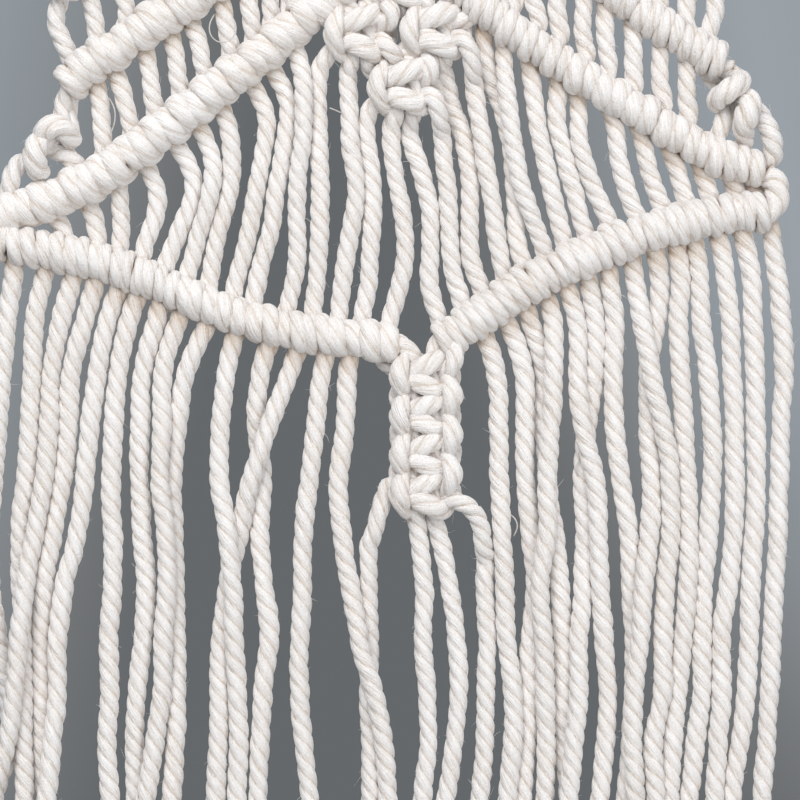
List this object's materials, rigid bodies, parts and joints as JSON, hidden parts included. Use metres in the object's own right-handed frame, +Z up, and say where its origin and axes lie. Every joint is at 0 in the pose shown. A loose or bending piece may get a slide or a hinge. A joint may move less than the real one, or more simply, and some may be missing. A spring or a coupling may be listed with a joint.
{
  "type": "macrame wall hanging",
  "caption": "Flat knotted cotton wall hanging: hitched chevron bars, square knots, a lower V of bars, a short square-knot sennit and a long straight fringe.",
  "frame": {"origin": "middle of the top edge, at mid thickness of the heading", "axes": "+Z up, +X to the right seen from the front, the front faces -Y and the wall side +Y"},
  "size_m": [0.2166, 0.0151, 0.3451],
  "materials": {
    "cotton_cord": "matt undyed three-strand twisted cotton"
  },
  "bodies": {
    "root": {"knotted_net": "cotton_cord", "left_bar_fringe": "cotton_cord", "right_bar_fringe": "cotton_cord", "centre_sennit": "cotton_cord"}
  },
  "joints": []
}
